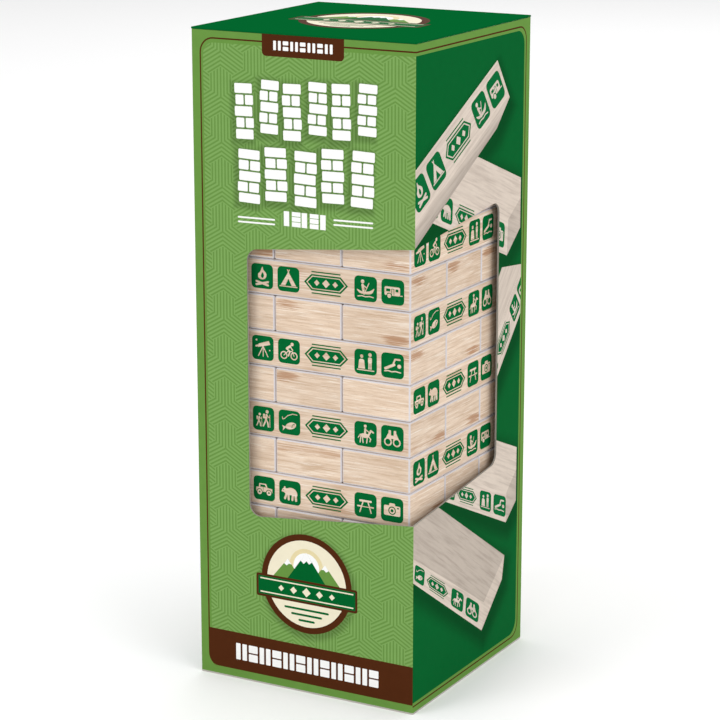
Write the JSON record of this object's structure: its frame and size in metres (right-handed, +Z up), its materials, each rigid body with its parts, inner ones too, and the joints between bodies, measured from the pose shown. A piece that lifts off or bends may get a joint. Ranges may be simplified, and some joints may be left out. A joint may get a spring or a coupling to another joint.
{
  "type": "tumbling tower game",
  "caption": "Wooden block stacking game in a tall square carton: blocks slide out of its open corner window, and the lid and dust flaps swing open.",
  "frame": {"origin": "middle of the carton's base, on the surface that it stands on", "axes": "+Z up, along the tower; -Y out of the front panel; +X out of the right panel, so that the window wraps round the vertical fold at +X, -Y"},
  "size_m": [0.0816, 0.0816, 0.2196],
  "materials": {
    "block_wood": "matte",
    "printed_board": "satin",
    "dark_board": "satin",
    "plain_board": "matte",
    "block_ink": "matte",
    "carton_print": "satin"
  },
  "bodies": {
    "carton_and_stack": {"carton_sleeve": "printed_board", "bottom_panels": "dark_board", "bottom_dust_flaps": "plain_board", "block_01_left": "block_wood", "block_01_middle": "block_wood", "block_01_right": "block_wood", "block_02_front": "block_wood", "block_02_middle": "block_wood", "block_02_back": "block_wood", "block_03_left": "block_wood", "block_03_middle": "block_wood", "block_03_right": "block_wood", "block_04_front": "block_wood", "block_04_middle": "block_wood", "block_04_back": "block_wood", "block_05_left": "block_wood", "block_05_middle": "block_wood", "block_05_right": "block_wood", "block_06_front": "block_wood", "block_06_middle": "block_wood", "block_06_back": "block_wood", "block_07_left": "block_wood", "block_08_back": "block_wood", "block_09_left": "block_wood", "block_10_back": "block_wood", "block_11_left": "block_wood", "block_12_back": "block_wood", "block_13_left": "block_wood", "block_13_middle": "block_wood", "block_13_right": "block_wood", "block_14_front": "block_wood", "block_14_middle": "block_wood", "block_14_back": "block_wood", "block_15_left": "block_wood", "block_15_middle": "block_wood", "block_15_right": "block_wood", "block_16_front": "block_wood", "block_16_middle": "block_wood", "block_16_back": "block_wood", "block_17_left": "block_wood", "block_17_middle": "block_wood", "block_17_right": "block_wood", "block_18_front": "block_wood", "block_18_middle": "block_wood", "block_18_back": "block_wood"},
    "lid": {"top_lid": "dark_board"},
    "dust_flap_left": {"top_dust_flap_left": "plain_board"},
    "dust_flap_right": {"top_dust_flap_right": "plain_board"},
    "loose_block_07_middle": {"block_07_middle": "block_wood"},
    "loose_block_07_right": {"block_07_right": "block_wood"},
    "loose_block_08_front": {"block_08_front": "block_wood"},
    "loose_block_08_middle": {"block_08_middle": "block_wood"},
    "loose_block_09_middle": {"block_09_middle": "block_wood"},
    "loose_block_09_right": {"block_09_right": "block_wood"},
    "loose_block_10_front": {"block_10_front": "block_wood"},
    "loose_block_10_middle": {"block_10_middle": "block_wood"},
    "loose_block_11_middle": {"block_11_middle": "block_wood"},
    "loose_block_11_right": {"block_11_right": "block_wood"},
    "loose_block_12_front": {"block_12_front": "block_wood"},
    "loose_block_12_middle": {"block_12_middle": "block_wood"}
  },
  "joints": [
    {"name": "lid_open", "type": "hinge", "parent": "carton_and_stack", "child": "lid", "pos_m": [0, 0.04075, 0.219], "axis": [-1, 0, 0], "range_deg": [0, 180]},
    {"name": "dust_flap_left_open", "type": "hinge", "parent": "carton_and_stack", "child": "dust_flap_left", "pos_m": [-0.04075, 0, 0.2189], "axis": [0, -1, 0], "range_deg": [0, 108]},
    {"name": "dust_flap_right_open", "type": "hinge", "parent": "carton_and_stack", "child": "dust_flap_right", "pos_m": [0.04075, 0, 0.2189], "axis": [0, 1, 0], "range_deg": [0, 108]},
    {"name": "slide_07_middle", "type": "slide", "parent": "carton_and_stack", "child": "loose_block_07_middle", "axis": [0, -1, 0], "range_m": [-0.002, 0.08]},
    {"name": "slide_07_right", "type": "slide", "parent": "carton_and_stack", "child": "loose_block_07_right", "axis": [0, -1, 0], "range_m": [-0.002, 0.08]},
    {"name": "slide_08_front", "type": "slide", "parent": "carton_and_stack", "child": "loose_block_08_front", "axis": [1, 0, 0], "range_m": [-0.002, 0.08]},
    {"name": "slide_08_middle", "type": "slide", "parent": "carton_and_stack", "child": "loose_block_08_middle", "axis": [1, 0, 0], "range_m": [-0.002, 0.08]},
    {"name": "slide_09_middle", "type": "slide", "parent": "carton_and_stack", "child": "loose_block_09_middle", "axis": [0, -1, 0], "range_m": [-0.002, 0.08]},
    {"name": "slide_09_right", "type": "slide", "parent": "carton_and_stack", "child": "loose_block_09_right", "axis": [0, -1, 0], "range_m": [-0.002, 0.08]},
    {"name": "slide_10_front", "type": "slide", "parent": "carton_and_stack", "child": "loose_block_10_front", "axis": [1, 0, 0], "range_m": [-0.002, 0.08]},
    {"name": "slide_10_middle", "type": "slide", "parent": "carton_and_stack", "child": "loose_block_10_middle", "axis": [1, 0, 0], "range_m": [-0.002, 0.08]},
    {"name": "slide_11_middle", "type": "slide", "parent": "carton_and_stack", "child": "loose_block_11_middle", "axis": [0, -1, 0], "range_m": [-0.002, 0.08]},
    {"name": "slide_11_right", "type": "slide", "parent": "carton_and_stack", "child": "loose_block_11_right", "axis": [0, -1, 0], "range_m": [-0.002, 0.08]},
    {"name": "slide_12_front", "type": "slide", "parent": "carton_and_stack", "child": "loose_block_12_front", "axis": [1, 0, 0], "range_m": [-0.002, 0.08]},
    {"name": "slide_12_middle", "type": "slide", "parent": "carton_and_stack", "child": "loose_block_12_middle", "axis": [1, 0, 0], "range_m": [-0.002, 0.08]}
  ],
  "couplings": [
    {"joint": "dust_flap_left_open", "follows": "lid_open", "ratio": 0.6},
    {"joint": "dust_flap_right_open", "follows": "lid_open", "ratio": 0.6}
  ]
}
